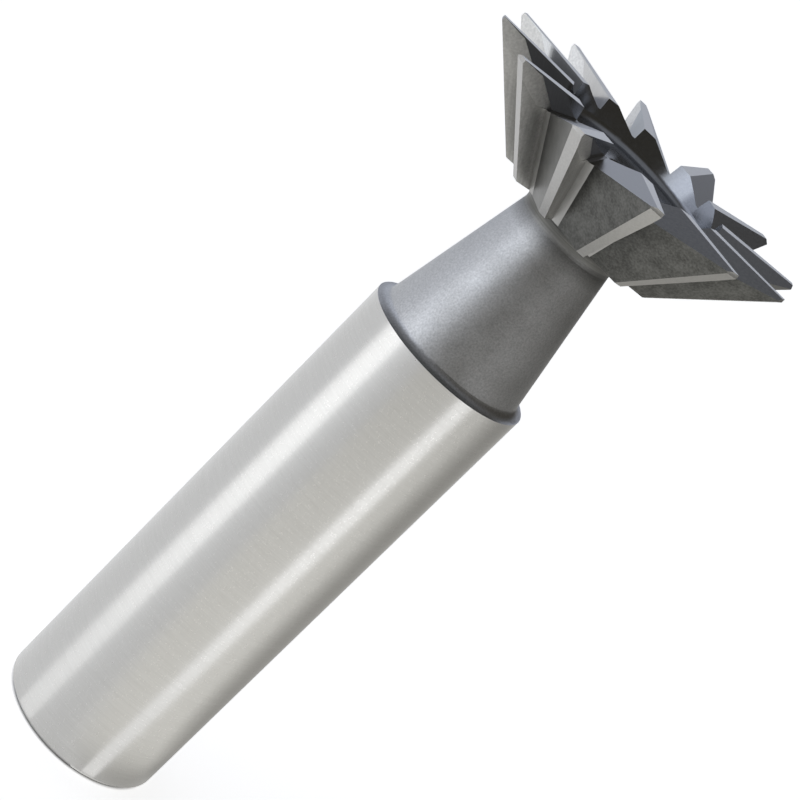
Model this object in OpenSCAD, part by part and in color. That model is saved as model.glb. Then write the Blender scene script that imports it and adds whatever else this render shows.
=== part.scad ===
// Dovetail cutter, millimetres: a plain round shank, a tapering neck and a head
// that flares towards its free end, with straight teeth on the flank and on the end.
// The tool stands on its butt: the axis is Z, the free end is up, and it cuts
// turning anticlockwise seen from the free end.

/* [Shank] */
// Diameter of the plain ground shank
shank_d = 16; // [14:0.5:18]
// Height of the shank from the butt to the shoulder
shank_l = 48; // [40:1:52]
// Width of the 45 degree chamfer round the butt
butt_chamfer = 0.5; // [0.2:0.1:1.2]

/* [Neck] */
// Radial step from the shank down to the neck cone at the shoulder
shoulder_step = 0.78; // [0.72:0.02:1.6]
// Diameter of the neck cone at the back of the head
neck_d_front = 8.8; // [7.4:0.1:9.4]
// Radius of the hollow between the shoulder and the neck
rear_fillet = 0.8; // [0.3:0.1:0.8]
// Radius of the hollow between the neck and the back of the head
front_fillet = 1.3; // [0.5:0.1:1.5]

/* [Head] */
// Length of the tool from the butt to the tooth corners
overall_l = 71.3; // [69:0.1:75]
// Diameter over the tooth corners
head_d = 31.7; // [30:0.1:34]
// Axial width of the head from its back to the tooth corners
head_w = 8.1; // [7.4:0.1:8.6]
// Angle between the flank and the end face
dovetail_angle = 45; // [43:1:50]
// Height of the narrow cylindrical band that blunts the tooth corners
corner_flat = 0.35; // [0.2:0.05:0.6]
// Axial drop of the end face from the tooth corners to the recess
end_dish = 0.32; // [0.1:0.02:0.5]

/* [Recess] */
// Diameter of the round recess at the end face
recess_d = 16.4; // [14.4:0.2:17]
// Depth of the recess below the tooth corners
recess_depth = 2.7; // [2.2:0.1:4]
// Angle by which the wall of the recess opens outward from the axis
recess_taper = 12; // [6:1:16]
// Radius of the hollow round the recess floor
recess_fillet = 0.8; // [0.3:0.1:1.2]

/* [Teeth] */
// Number of teeth
tooth_count = 12; // [10:1:14]
// Width of the flank land at the tooth corner
flank_land = 1.13; // [0.9:0.01:1.4]
// Radial depth of the flank gullet below the tooth corner
gullet_depth_front = 3.2; // [2.8:0.1:3.6]
// Radial depth of the flank gullet at the back of the head
gullet_depth_back = 1.55; // [1.3:0.05:1.8]
// Width of the floor of the flank gullet
gullet_floor = 0.75; // [0.5:0.05:0.9]
// Width of the end land at the recess
end_land = 1.5; // [1.2:0.05:1.7]
// Depth of the end gullet at the recess
end_gullet_depth = 1.15; // [0.9:0.05:1.4]
// Width of the floor of the end gullet
end_gullet_floor = 0.4; // [0.3:0.05:0.6]
// Distance from the tooth corner to where the end tooth face parts from the flank tooth face
end_face_start = 1.7; // [0.8:0.1:2]
// Angle by which the end tooth face is turned back from the flank tooth face
end_face_turn = 2.5; // [1.5:0.5:3.5]
// Angle by which the foot of the end tooth face stands forward
end_face_lean = 4.5; // [3:0.5:6]

/* [Centre holes] */
// Diameter of the mouth of each 60 degree centre hole
centre_d = 4; // [3:0.1:5]
// Diameter of the pilot bore of each centre hole
pilot_d = 2; // [1.6:0.1:2.4]
// Depth of the pilot bore below the cone
pilot_l = 2; // [1:0.1:3]

/* [Hidden] */
$fn = 144;

shank_r = shank_d / 2;
head_r = head_d / 2;
recess_r = recess_d / 2;
centre_r = centre_d / 2;
pilot_r = pilot_d / 2;
// Heights along the axis
back_z = overall_l - head_w;
corner_z = overall_l - corner_flat;
rim_z = overall_l - end_dish;
recess_z = overall_l - recess_depth;
// Radius of the flank at the back of the head
root_r = head_r - (corner_z - back_z) / tan(dovetail_angle);
// Centre holes: angle of the cone and of the drill point, and the lengths these give
centre_angle = 60;
drill_angle = 118;
centre_cone_h = (centre_r - pilot_r) / tan(centre_angle / 2);
pilot_tip_h = pilot_r / tan(drill_angle / 2);

pitch = 360 / tooth_count;
// How far a gullet wedge reaches past the tooth tops
reach = 12;
// How far a flank wedge starts below the back of the head
lead = 0.4;

// Flank gullet: floor radius at both ends, lean of the floor line from the axis
floor_r_front = head_r - gullet_depth_front;
floor_r_back = root_r - gullet_depth_back;
floor_lean = atan2(floor_r_front - floor_r_back, head_w);
// Rear corner of the next tooth's flank land
land_angle = pitch - flank_land / head_r * 180 / PI;
land_corner = [head_r * cos(land_angle), head_r * sin(land_angle), corner_z];
// Rise of the tooth back from the right edge of the floor to that corner
back_rise = (land_corner.x - floor_r_back) * cos(floor_lean) - (land_corner.z - back_z) * sin(floor_lean);
back_slope = atan2(back_rise, land_corner.y - gullet_floor);

// End gullet, seen in a frame turned about the start of the end tooth face
face_x = head_r - end_face_start;
function turned(p) =
    let (dx = p.x - face_x)
    [dx * cos(end_face_turn) + p.y * sin(end_face_turn),
     p.y * cos(end_face_turn) - dx * sin(end_face_turn),
     p.z];
end_land_angle = pitch - end_land / recess_r * 180 / PI;
// Three points of the back of the next end tooth: land at the corner, land at the recess, gullet floor
end_corner = turned([land_corner.x, land_corner.y, corner_z + corner_flat / 2]);
end_rim = turned([recess_r * cos(end_land_angle), recess_r * sin(end_land_angle), rim_z]);
end_foot = [recess_r - face_x, end_gullet_floor, rim_z - end_gullet_depth];
end_normal = cross(end_corner - end_foot, end_rim - end_foot);
end_fall = atan2(end_normal.x, end_normal.z);
end_slope = atan2(-end_normal.y, end_normal.x * sin(end_fall) + end_normal.z * cos(end_fall));

// Corners of the half section that carry a hollow: radius across, height up
shoulder = [shank_r - shoulder_step, shank_l];
head_back = [neck_d_front / 2, back_z];
recess_rim = [recess_r, rim_z];
recess_foot = [recess_r - (rim_z - recess_z) * tan(recess_taper), recess_z];

// Centre of a hollow of radius r in the corner c between edges that leave it along a and b
function hollow_centre(c, a, b, r) =
    let (out = a / norm(a) + b / norm(b), half = acos(a * b / norm(a) / norm(b)) / 2)
    c + out / norm(out) * r / sin(half);

// The three points that stand for the corner c until the hollow is cut out
function hollow_points(c, a, b, r) =
    let (half = acos(a * b / norm(a) / norm(b)) / 2)
    [c + a / norm(a) * r / tan(half), hollow_centre(c, a, b, r), c + b / norm(b) * r / tan(half)];

// Half section of the blank with its three hollows
module half_section() {
    neck_up = head_back - shoulder;
    recess_up = recess_rim - recess_foot;
    difference() {
        polygon(concat(
            [
                [0, centre_cone_h + pilot_l + pilot_tip_h],
                [pilot_r, centre_cone_h + pilot_l],
                [pilot_r, centre_cone_h],
                [centre_r, 0],
                [shank_r - butt_chamfer, 0],
                [shank_r, butt_chamfer],
                [shank_r, shank_l]
            ],
            hollow_points(shoulder, [1, 0], neck_up, rear_fillet),
            hollow_points(head_back, -neck_up, [1, 0], front_fillet),
            [
                [root_r, back_z],
                [head_r, corner_z],
                [head_r, overall_l],
                recess_rim
            ],
            hollow_points(recess_foot, recess_up, [-1, 0], recess_fillet),
            [
                [centre_r, recess_z],
                [pilot_r, recess_z - centre_cone_h],
                [pilot_r, recess_z - centre_cone_h - pilot_l],
                [0, recess_z - centre_cone_h - pilot_l - pilot_tip_h]
            ]
        ));
        translate(hollow_centre(shoulder, [1, 0], neck_up, rear_fillet)) circle(rear_fillet);
        translate(hollow_centre(head_back, -neck_up, [1, 0], front_fillet)) circle(front_fillet);
        translate(hollow_centre(recess_foot, recess_up, [-1, 0], recess_fillet)) circle(recess_fillet);
    }
}

// Wedge between a tooth's flank face at y = 0 and the back of the next tooth
module flank_gullet() {
    run = head_w / cos(floor_lean);
    translate([floor_r_back, 0, back_z])
        rotate([0, floor_lean, 0])
            translate([0, 0, -lead])
                linear_extrude(lead + run + reach / 2)
                    polygon([
                        [0, 0],
                        [0, gullet_floor],
                        [reach * sin(back_slope), gullet_floor + reach * cos(back_slope)],
                        [reach, gullet_floor + reach * cos(back_slope)],
                        [reach, 0]
                    ]);
}

// Wedge between a tooth's end face side and the back of the next end tooth
module end_gullet() {
    foot = end_gullet_depth * tan(end_face_lean);
    translate([face_x, 0, 0])
        rotate([0, 0, end_face_turn])
            translate([end_foot.x, 0, end_foot.z])
                rotate([0, 90 + end_fall, 0])
                    translate([0, 0, -recess_r / 2])
                        linear_extrude(recess_r / 2 + reach)
                            polygon([
                                [0, foot],
                                [0, end_gullet_floor],
                                [-reach * sin(end_slope), end_gullet_floor + reach * cos(end_slope)],
                                [-reach, end_gullet_floor + reach * cos(end_slope)],
                                [-reach, foot - reach * tan(end_face_lean)]
                            ]);
}

module dovetail_cutter() {
    color([0.72, 0.73, 0.74])
        difference() {
            rotate_extrude() half_section();
            for (i = [0 : tooth_count - 1])
                rotate([0, 0, i * pitch]) {
                    flank_gullet();
                    end_gullet();
                }
        }
}

dovetail_cutter();
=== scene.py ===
"""Looks of a dovetail cutter: ground shank, satin neck and a toothed head, on a pale floor."""

import math

import bpy
from mathutils import Matrix, Vector


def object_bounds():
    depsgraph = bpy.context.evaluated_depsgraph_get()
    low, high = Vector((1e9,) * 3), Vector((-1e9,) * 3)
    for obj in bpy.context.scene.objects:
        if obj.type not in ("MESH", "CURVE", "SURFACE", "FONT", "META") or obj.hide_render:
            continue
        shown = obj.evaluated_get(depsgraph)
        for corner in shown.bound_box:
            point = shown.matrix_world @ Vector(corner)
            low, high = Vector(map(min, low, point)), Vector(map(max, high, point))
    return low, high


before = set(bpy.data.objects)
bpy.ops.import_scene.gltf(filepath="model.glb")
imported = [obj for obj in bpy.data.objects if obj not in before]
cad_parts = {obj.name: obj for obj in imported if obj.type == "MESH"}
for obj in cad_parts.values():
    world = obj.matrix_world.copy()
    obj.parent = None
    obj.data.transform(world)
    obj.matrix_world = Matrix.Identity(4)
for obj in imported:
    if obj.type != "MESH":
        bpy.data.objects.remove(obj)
cad_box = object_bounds()
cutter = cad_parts["dovetail_cutter"]
scene = bpy.context.scene

# Sizes of the solid that tell its surfaces apart, in metres and radians
SHANK_R = 0.008
SHOULDER_Z = 0.048
BACK_Z = 0.0632
ROOT_R = 0.0081
TOP_Z = cad_box[1][2]
HEAD_R = cad_box[1][0]
CORNER_Z = TOP_Z - 0.00035
RIM_Z = TOP_Z - 0.00032
RECESS_R = 0.0082
RECESS_Z = TOP_Z - 0.0027
CENTRE_R = 0.002
GULLET_LEAN = math.radians(36.87)
FACE_LEAN = math.radians(4.5)
SLACK = 0.00002

# The neck passes from satin to a turned ring, darkened with painted shade under the head, between these
# heights
SHADE_RING_FROM_Z = 0.0602
SHADE_RING_TO_Z = 0.0622

# An end face is bright along the end: a strip outside BRIGHT_R, and a wedge that deepens to the recess
BRIGHT_R = 0.0139
BRIGHT_STRIP = 0.0002
BRIGHT_DEPTH = 0.0033
BRIGHT_EDGE = 0.00004

# Most of a noise lies in the first range, and most of the sum of two in the second
NOISE_RANGE = (0.3, 0.7)
SUM_RANGE = (0.75, 1.25)
# Share of open sky over a surface deep in a hollow, and over one that counts as open, for the painted
# shade in hollows
HOLLOW_SKY = 0.4
OPEN_SKY = 0.9
QUARTER_TURN = 0.25


class Nodes:
    """A node tree, with short names for the nodes that are used here."""

    def __init__(self, tree):
        self.tree = tree

    def node(self, kind, **settings):
        made = self.tree.nodes.new(kind)
        for key, value in settings.items():
            setattr(made, key, value)
        return made

    def feed(self, value, socket):
        """Give a socket its value: the output of a node, a number, a vector or a colour."""
        if isinstance(value, bpy.types.NodeSocket):
            self.tree.links.new(value, socket)
        elif socket.type == "RGBA":
            socket.default_value = (*value, 1)
        else:
            socket.default_value = value

    def maths(self, operation, first, second):
        made = self.node("ShaderNodeMath", operation=operation)
        self.feed(first, made.inputs[0])
        self.feed(second, made.inputs[1])
        return made.outputs[0]

    def vector(self, operation, first, second=None):
        made = self.node("ShaderNodeVectorMath", operation=operation)
        self.feed(first, made.inputs[0])
        if second is not None:
            self.feed(second, made.inputs[1])
        return made.outputs["Value" if operation in ("LENGTH", "DOT_PRODUCT") else "Vector"]

    def spread(self, value, low, high, from_low=NOISE_RANGE[0], from_high=NOISE_RANGE[1], ease="LINEAR"):
        """The value's range between from_low and from_high, laid out from low to high."""
        made = self.node("ShaderNodeMapRange", interpolation_type=ease)
        self.feed(value, made.inputs["Value"])
        self.feed(from_low, made.inputs["From Min"])
        self.feed(from_high, made.inputs["From Max"])
        self.feed(low, made.inputs["To Min"])
        self.feed(high, made.inputs["To Max"])
        return made.outputs["Result"]

    def colours(self, share, low, high):
        """A colour that goes from low to high while the share goes from 0 to 1."""
        made = self.node("ShaderNodeMix", data_type="RGBA")
        self.feed(share, made.inputs["Factor"])
        self.feed(low, made.inputs["A"])
        self.feed(high, made.inputs["B"])
        return next(socket for socket in made.outputs if socket.type == "RGBA")


class Shader(Nodes):
    """A material; noise scales are per metre, and reaches and bump depths are metres."""

    def __init__(self, name):
        self.material = bpy.data.materials.new(name)
        self.material.use_nodes = True
        super().__init__(self.material.node_tree)
        self.inputs = self.tree.nodes["Principled BSDF"].inputs
        self.place = self.node("ShaderNodeNewGeometry").outputs["Position"]

    def noise(self, where, detail=2.0, rough=0.5):
        made = self.node("ShaderNodeTexNoise")
        self.feed(where, made.inputs["Vector"])
        self.feed(1.0, made.inputs["Scale"])
        self.feed(detail, made.inputs["Detail"])
        self.feed(rough, made.inputs["Roughness"])
        return made.outputs["Fac"]

    def grain(self, scale, detail=2.0, rough=0.5):
        """Noise that is even all ways."""
        return self.noise(self.vector("MULTIPLY", self.place, (scale, scale, scale)), detail, rough)

    def rings(self, across, along, detail=2.0):
        """Noise drawn out into the rings that a lathe or grinder leaves round the axis."""
        return self.noise(self.vector("MULTIPLY", self.place, (across, across, along)), detail)

    def section(self):
        """Distance from the axis and height above the butt."""
        parts = self.node("ShaderNodeSeparateXYZ")
        self.feed(self.place, parts.inputs[0])
        flat = self.node("ShaderNodeCombineXYZ")
        self.feed(parts.outputs["X"], flat.inputs["X"])
        self.feed(parts.outputs["Y"], flat.inputs["Y"])
        return self.vector("LENGTH", flat.outputs[0]), parts.outputs["Z"]

    def along_gullet(self, across, along):
        """Fine lines on a tooth that run with the floor of its gullet."""
        radius, height = self.section()
        place = self.node("ShaderNodeCombineXYZ")
        self.feed(radius, place.inputs["X"])
        self.feed(height, place.inputs["Y"])
        turned = self.node("ShaderNodeMapping")
        self.feed((0, 0, GULLET_LEAN), turned.inputs["Rotation"])
        self.feed(place.outputs[0], turned.inputs["Vector"])
        return self.noise(self.vector("MULTIPLY", turned.outputs[0], (across, along, along)), detail=3)

    def with_painted_hollow_shade(self, colour, reach, dark):
        """The colour with painted shade: darker where the surface lies deep in a hollow."""
        shade = self.node("ShaderNodeAmbientOcclusion", samples=8, only_local=True)
        self.feed(reach, shade.inputs["Distance"])
        level = self.spread(shade.outputs["AO"], dark, 1, HOLLOW_SKY, OPEN_SKY)
        return self.vector("MULTIPLY", colour, level)

    def metal(self, colour, rough):
        self.feed(colour, self.inputs["Base Color"])
        self.feed(rough, self.inputs["Roughness"])
        self.feed(1.0, self.inputs["Metallic"])

    def bump(self, height, depth, strength=1.0):
        made = self.node("ShaderNodeBump")
        self.feed(height, made.inputs["Height"])
        self.feed(depth, made.inputs["Distance"])
        self.feed(strength, made.inputs["Strength"])
        self.feed(made.outputs["Normal"], self.inputs["Normal"])

    def turned(self, amount):
        """Grinding lines that run round the axis draw the highlight out along it."""
        tangent = self.node("ShaderNodeTangent", direction_type="RADIAL", axis="Z")
        self.feed(tangent.outputs["Tangent"], self.inputs["Tangent"])
        self.feed(amount, self.inputs["Anisotropic"])
        self.feed(QUARTER_TURN, self.inputs["Anisotropic Rotation"])


def shank_steel():
    s = Shader("shank_ground")
    rings = s.rings(300, 9000, detail=3)
    s.metal(
        s.colours(s.spread(rings, 0, 1), (0.495, 0.491, 0.477), (0.53, 0.526, 0.512)),
        s.spread(s.grain(6000), 0.27, 0.34),
    )
    s.bump(rings, 0.0000018)
    s.turned(0.7)
    return s.material


def neck_steel():
    """Satin steel that passes into a turned ring at the back of the head, whose dark tone is painted
    shade under the head.
    """
    s = Shader("neck_satin")
    grain = s.grain(6500, detail=3, rough=0.6)
    satin = s.colours(s.spread(grain, 0, 1), (0.36, 0.364, 0.37), (0.53, 0.532, 0.537))
    # The ring's dark colour is painted shade; its lines are the real turning marks
    ring = s.colours(s.spread(s.rings(200, 9000), 0, 1), (0.075, 0.075, 0.071), (0.125, 0.125, 0.118))
    height = s.section()[1]
    s.metal(
        s.colours(s.spread(height, 0, 1, SHADE_RING_FROM_Z, SHADE_RING_TO_Z), satin, ring),
        s.spread(s.grain(500), 0.40, 0.48),
    )
    s.bump(grain, 0.000014, 0.6)
    return s.material


def floor_steel():
    """The narrow floor of a flank gullet, milled along its length."""
    s = Shader("gullet_floor_milled")
    lines = s.along_gullet(7000, 250)
    s.metal(
        s.colours(s.spread(lines, 0, 1), (0.27, 0.267, 0.258), (0.37, 0.367, 0.355)),
        s.spread(lines, 0.36, 0.44),
    )
    return s.material


def face_steel():
    """The face of an end tooth: bright along the end, satin below that and near the corner, with painted
    shade deep in its hollows.
    """
    s = Shader("end_face_ground")
    lines = s.along_gullet(7000, 250)
    radius, height = s.section()
    strip = s.spread(radius, TOP_Z, TOP_Z - BRIGHT_STRIP, HEAD_R, BRIGHT_R)
    wedge = s.spread(radius, TOP_Z, TOP_Z - BRIGHT_DEPTH, BRIGHT_R, RECESS_R)
    below = s.maths("SUBTRACT", s.maths("MINIMUM", strip, wedge), height)
    satin = s.spread(below, 0, 1, -BRIGHT_EDGE, BRIGHT_EDGE)
    bright = s.colours(s.spread(lines, 0, 1), (0.52, 0.52, 0.515), (0.58, 0.58, 0.575))
    milled = s.colours(s.spread(s.grain(5000, detail=3), 0, 1), (0.63, 0.626, 0.61), (0.79, 0.785, 0.765))
    s.metal(
        s.colours(satin, s.with_painted_hollow_shade(bright, 0.004, 0.75), s.with_painted_hollow_shade(milled, 0.003, 0.3)),
        s.spread(satin, 0.13, 0.52, 0, 1),
    )
    s.bump(lines, 0.0000015)
    return s.material


def flank_steel():
    """The satin face of a flank tooth, with the lines of the mill along its gullet, and painted shade
    deep in the gullet.
    """
    s = Shader("flank_face_milled")
    grain = s.grain(5000, detail=3)
    mottle = s.maths("ADD", s.along_gullet(5000, 250), grain)
    colour = s.colours(s.spread(mottle, 0, 1, *SUM_RANGE), (0.51, 0.506, 0.492), (0.67, 0.665, 0.648))
    s.metal(s.with_painted_hollow_shade(colour, 0.003, 0.3), s.spread(grain, 0.38, 0.46))
    s.bump(mottle, 0.000006, 0.5)
    return s.material


def back_steel():
    """The mottled back of a flank tooth, its dark tone painted shade, darker still with painted shade in
    the hollows.
    """
    s = Shader("tooth_back_milled_painted_shade")
    grain = s.grain(5000, detail=3)
    mottle = s.maths("ADD", grain, s.grain(700, detail=4, rough=0.6))
    # The back's dark colour is painted shade, for a back that faces down, away from the light
    colour = s.colours(s.spread(mottle, 0, 1, *SUM_RANGE), (0.056, 0.056, 0.052), (0.119, 0.119, 0.112))
    s.metal(s.with_painted_hollow_shade(colour, 0.005, 0.3), s.spread(grain, 0.30, 0.38))
    s.bump(grain, 0.00001, 0.4)
    return s.material


def even_steel(name, scale, detail, low, high, rough):
    """Smooth steel with a faint even grain."""
    s = Shader(name)
    grain = s.grain(scale, detail)
    s.metal(s.colours(s.spread(grain, 0, 1), low, high), s.spread(grain, *rough))
    return s.material


MATERIALS = [
    shank_steel(),
    neck_steel(),
    floor_steel(),
    even_steel("land_ground", 6000, 2, (0.36, 0.355, 0.345), (0.41, 0.405, 0.39), (0.28, 0.34)),
    face_steel(),
    flank_steel(),
    back_steel(),
    # The recess colour is darkened as painted shade for the inside of the recess
    even_steel("recess_turned_painted_shade", 4000, 2, (0.27, 0.28, 0.30), (0.31, 0.32, 0.34), (0.18, 0.22)),
    even_steel("end_back_milled", 5000, 3, (0.215, 0.218, 0.228), (0.27, 0.273, 0.283), (0.30, 0.36)),
]
SHANK, NECK, FLOOR, LAND, FACE, FLANK, BACK, RECESS, END = range(len(MATERIALS))


def surface_of(centre, normal):
    """Which kind of surface a facet of the solid belongs to, by its place and the way it looks."""
    r = math.hypot(centre.x, centre.y)
    outward = (centre.x * normal.x + centre.y * normal.y) / max(r, SLACK)
    around = (centre.x * normal.y - centre.y * normal.x) / max(r, SLACK)
    if centre.z < SHOULDER_Z - SLACK:
        return SHANK
    if centre.z < BACK_Z + SLACK and r < ROOT_R + SLACK:
        return NECK
    # Centre hole, wall and hollow of the recess, floor of the recess
    if r < CENTRE_R + SLACK:
        return RECESS
    if r < RECESS_R + SLACK and centre.z > RECESS_Z - SLACK and outward < -0.05 and abs(around) < 0.3:
        return RECESS
    if r < RECESS_R and abs(centre.z - RECESS_Z) < SLACK / 2:
        return RECESS
    # Lands lie on the blank: on its cone and corner band, or on its end
    blank_r = HEAD_R - max(CORNER_Z - centre.z, 0)
    if abs(around) < 0.02 and outward > 0.5 and r > blank_r - 2 * SLACK:
        return LAND
    if normal.z > 0.99 and centre.z > RIM_Z - 2 * SLACK:
        return LAND
    # Faces look round the axis, and only those of the end teeth look up a little
    if around > 0.6:
        return FACE if normal.z > math.sin(FACE_LEAN) / 2 else FLANK
    if abs(around) < 0.12 and outward > 0.6:
        return FLOOR
    return END if normal.z > 0.5 else BACK


mesh = cutter.data
mesh.materials.clear()
for material in MATERIALS:
    mesh.materials.append(material)
for polygon in mesh.polygons:
    polygon.material_index = surface_of(polygon.center, polygon.normal)

# The photo's camera: it looks down on the standing tool, rolled so that the tool lies along the diagonal
CAMERA_TURN = math.radians(-14.24)
PITCH_DOWN = math.radians(18.232)
ROLL = math.radians(0.156)
CAMERA_PLACE = Vector((-0.000149, -0.174933, 0.099669))
LENS_MM = 100.05
SENSOR_MM = 36.0
turn = Matrix.Rotation(CAMERA_TURN, 3, "Z")
place = turn @ CAMERA_PLACE
forward = turn @ Vector((0, math.cos(PITCH_DOWN), -math.sin(PITCH_DOWN)))
along = turn @ Vector((0, math.sin(PITCH_DOWN), math.cos(PITCH_DOWN)))
across = turn @ Vector((1, 0, 0))
along_rolled = along * math.cos(ROLL) - across * math.sin(ROLL)
across_rolled = along * math.sin(ROLL) + across * math.cos(ROLL)
right = (along_rolled + across_rolled).normalized()
up = (along_rolled - across_rolled).normalized()
camera = bpy.data.objects.new("camera", bpy.data.cameras.new("camera"))
scene.collection.objects.link(camera)
camera.matrix_world = Matrix((
    (right.x, up.x, -forward.x, place.x),
    (right.y, up.y, -forward.y, place.y),
    (right.z, up.z, -forward.z, place.z),
    (0, 0, 0, 1),
))
camera.data.sensor_width = SENSOR_MM
camera.data.lens = LENS_MM
camera.data.clip_start = 0.005
camera.data.clip_end = 20.0
scene.camera = camera

# White floor, and cards and panels that only the steel mirrors, laid out from the camera's side
STAGE_HALF = 3.0
FLOOR_Z = -0.00002
CARD_Z = 0.0001
PANEL_Z = 0.0003
PAPER_WHITE = (0.9, 0.9, 0.9)
FLOOR_LIFT = 0.84
# The lift starts between these distances from the axis, so it stays off the paper under the part
LIFT_FROM = 0.0075
LIFT_TO = 0.0079

# Graduated card with painted light and shade: it starts white at CARD_EDGE, and its level goes by the
# distance from the axis, as a painted shadow near the part and a painted pool of light that falls off to
# dark further out; it is painted darker towards the right
CARD_OUT = Vector((0.966, -0.259, 0))
CARD_ALONG = Vector((0.259, 0.966, 0))
CARD_EDGE = 0.004
CARD_FADE = 0.010
CARD_LIFT = 0.90
CARD_REACH = 0.5
CARD_PAINTED_LIGHT_ZONES = ((0.010, 0.5), (0.015, 1), (0.18, 1), (0.30, 0.5), (0.46, 0.5), (0.50, 0.09))
# Tone of the card to the front, and its painted shade to the right
CARD_FRONT = (0.98, 0.965, 0.92)
CARD_RIGHT_PAINTED_SHADE = (0.42, 0.41, 0.385)
RIGHT_BEARING = Vector((0.71, 0.704, 0))
RIGHT_FROM = 0.66
RIGHT_TO = 0.98

# Plain card behind the part on its left
BEHIND_GREY = (0.44, 0.47, 0.52)
BEHIND_X = (-1.2, 0.1)
BEHIND_Y = (0.3, 2.0)

# Soft panels, dimmer near the axis
PANEL_GREY = (0.8, 0.8, 0.8)
PANEL_R = SHANK_R + 0.0004
PANEL_FADE = 0.6
PANEL_FADE_R = 0.1


def flat_piece(name, corners, material):
    """A level stage piece with these corners, given from the camera's side."""
    shape = bpy.data.meshes.new(name)
    shape.from_pydata([turn @ Vector(corner) for corner in corners], [], [tuple(range(len(corners)))])
    shape.materials.append(material)
    made = bpy.data.objects.new(name, shape)
    scene.collection.objects.link(made)
    return made


def mirrored_only(piece):
    """Keep a stage piece out of the camera's sight and off the floor's light."""
    piece.visible_camera = False
    piece.visible_diffuse = False
    piece.visible_shadow = False


def matt_paper(name):
    s = Shader(name)
    s.feed(0.9, s.inputs["Roughness"])
    s.feed(0.0, s.inputs["Specular IOR Level"])
    return s


def lit(s, tint, lift):
    """The material of a paper with this tint and this much light of its own."""
    s.feed(tint, s.inputs["Base Color"])
    s.feed(tint, s.inputs["Emission Color"])
    s.feed(lift, s.inputs["Emission Strength"])
    return s.material


def floor_paper():
    """White paper, lifted to white for the rays that see it, apart from the spot under the part."""
    s = matt_paper("floor_paper")
    path = s.node("ShaderNodeLightPath")
    seen = path.outputs["Is Camera Ray"]
    for ray in ("Is Glossy Ray", "Is Transmission Ray"):
        seen = s.maths("MAXIMUM", seen, path.outputs[ray])
    lift = s.spread(s.vector("LENGTH", s.place), 0, FLOOR_LIFT, LIFT_FROM, LIFT_TO)
    return lit(s, PAPER_WHITE, s.maths("MULTIPLY", seen, lift))


def card_painted_light():
    """Grey card with painted light and shade: white at its edge by the part, then graduated outward as a
    painted shadow and a painted pool of light, and round the part as painted shade on the right.
    """
    s = matt_paper("card_painted_light")
    painted_light_ramp = s.node("ShaderNodeValToRGB")
    ramp = painted_light_ramp.color_ramp
    ramp.interpolation = "EASE"
    first, *between, last = CARD_PAINTED_LIGHT_ZONES
    for stop, (distance, level) in zip(ramp.elements, (first, last)):
        stop.position = distance / CARD_REACH
        stop.color = (level, level, level, 1)
    for distance, level in between:
        ramp.elements.new(distance / CARD_REACH).color = (level, level, level, 1)
    s.feed(s.spread(s.vector("LENGTH", s.place), 0, 1, 0, CARD_REACH), painted_light_ramp.inputs["Fac"])
    bearing = s.vector("DOT_PRODUCT", s.vector("NORMALIZE", s.place), turn @ RIGHT_BEARING)
    tone = s.colours(s.spread(bearing, 0, 1, RIGHT_FROM, RIGHT_TO), CARD_FRONT, CARD_RIGHT_PAINTED_SHADE)
    grey = s.vector("MULTIPLY", tone, painted_light_ramp.outputs["Color"])
    out = s.vector("DOT_PRODUCT", s.place, turn @ CARD_OUT)
    return lit(s, s.colours(s.spread(out, 0, 1, CARD_EDGE, CARD_FADE), PAPER_WHITE, grey), CARD_LIFT)


def rectangle(out_from, out_to, along_half, z):
    """Corners of a level rectangle with two sides along the card's edge."""
    corners = []
    for out, end in ((out_from, -1), (out_to, -1), (out_to, 1), (out_from, 1)):
        corners.append(CARD_OUT * out + CARD_ALONG * end * along_half + Vector((0, 0, z)))
    return corners


flat_piece("floor", rectangle(-STAGE_HALF, STAGE_HALF, STAGE_HALF, FLOOR_Z), floor_paper())
mirrored_only(flat_piece("card", rectangle(CARD_EDGE, STAGE_HALF, STAGE_HALF, CARD_Z), card_painted_light()))
behind = [(BEHIND_X[i], BEHIND_Y[j], CARD_Z) for i, j in ((0, 0), (1, 0), (1, 1), (0, 1))]
mirrored_only(flat_piece("card_behind", behind, lit(matt_paper("card_plain"), BEHIND_GREY, CARD_LIFT)))


def light_panel(name, azimuth, spread, length, strength):
    """A soft panel that the shank mirrors as a straight band; azimuth and spread are in degrees."""
    s = Shader(name)
    s.feed(PANEL_GREY, s.inputs["Base Color"])
    s.feed((1, 1, 1), s.inputs["Emission Color"])
    faded = s.spread(s.vector("LENGTH", s.place), strength * PANEL_FADE, strength, 0, PANEL_FADE_R)
    s.feed(faded, s.inputs["Emission Strength"])
    corners = []
    for edge, reach in ((-1, 0), (1, 0), (1, length), (-1, length)):
        # The shank throws the camera's line of sight this way from the place at half the azimuth
        a = math.radians(azimuth + edge * spread / 2)
        x = math.sin(a / 2) * PANEL_R + math.sin(a) * reach
        y = -math.cos(a / 2) * PANEL_R - math.cos(a) * reach
        corners.append((x, y, PANEL_Z))
    mirrored_only(flat_piece(name, corners, s.material))


light_panel("panel_left", azimuth=-64, spread=31, length=0.70, strength=1.7)
light_panel("panel_right", azimuth=58, spread=20, length=0.32, strength=1.9)

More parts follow.
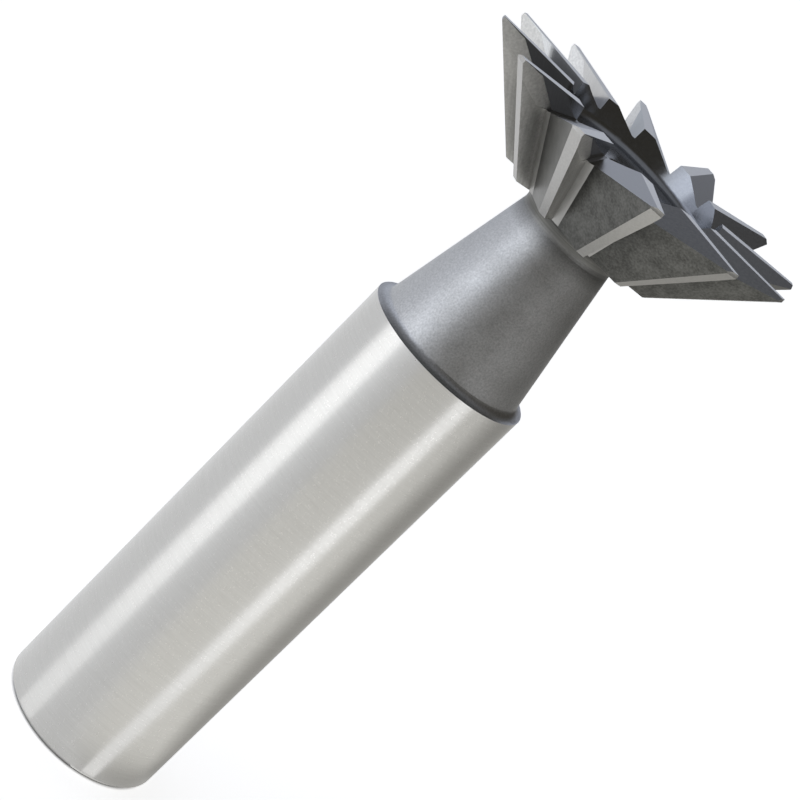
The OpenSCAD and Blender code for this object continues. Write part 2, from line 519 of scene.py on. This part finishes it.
# Studio walls: pale behind the part and on its left, dim overhead, dark on its right and in front
WALL_DARK = (0.082, 0.075, 0.062)
WALL_PALE = (0.80, 0.85, 0.97)
CEILING = (0.33, 0.34, 0.36)
PALE_BEARING = Vector((-0.90, 0.43, 0))
world = bpy.data.worlds.new("studio")
world.use_nodes = True
walls = Nodes(world.node_tree)
sight = walls.node("ShaderNodeTexCoord").outputs["Generated"]


def toward(direction, low, high):
    """How far a line of sight leans towards a direction, eased from 0 at low to 1 at high."""
    return walls.spread(walls.vector("DOT_PRODUCT", sight, direction), 0, 1, low, high, "SMOOTHSTEP")


beside = toward(turn @ PALE_BEARING, 0.0, 0.42)
not_above = toward(Vector((0, 0, -1)), -0.75, -0.35)
overhead = toward(Vector((0, 0, 1)), 0.6, 0.9)
dim = walls.colours(overhead, WALL_DARK, CEILING)
shown = walls.colours(walls.maths("MULTIPLY", beside, not_above), dim, WALL_PALE)
walls.feed(shown, world.node_tree.nodes["Background"].inputs["Color"])
scene.world = world

# One soft lamp on the left, a little above the part
KEY_AZIMUTH = math.radians(-50)
KEY_ELEVATION = math.radians(12)
KEY_DISTANCE = 0.6
KEY_AIM_Z = 0.04
KEY_WIDTH = 0.42
KEY_HEIGHT = 0.28
KEY_RADIANCE = 1.0
KEY_COLOUR = (0.91, 0.95, 1.0)
lamp = bpy.data.lights.new("key_left", "AREA")
lamp.shape = "RECTANGLE"
lamp.size = KEY_WIDTH
lamp.size_y = KEY_HEIGHT
lamp.energy = KEY_RADIANCE * math.pi * KEY_WIDTH * KEY_HEIGHT
lamp.color = KEY_COLOUR
key = bpy.data.objects.new("key_left", lamp)
scene.collection.objects.link(key)
key_out = turn @ Vector((
    math.sin(KEY_AZIMUTH) * math.cos(KEY_ELEVATION),
    -math.cos(KEY_AZIMUTH) * math.cos(KEY_ELEVATION),
    math.sin(KEY_ELEVATION),
))
key.location = Vector((0, 0, KEY_AIM_Z)) + key_out * KEY_DISTANCE
key.rotation_euler = (-key_out).to_track_quat("-Z", "Y").to_euler()

scene.view_settings.view_transform = "Standard"
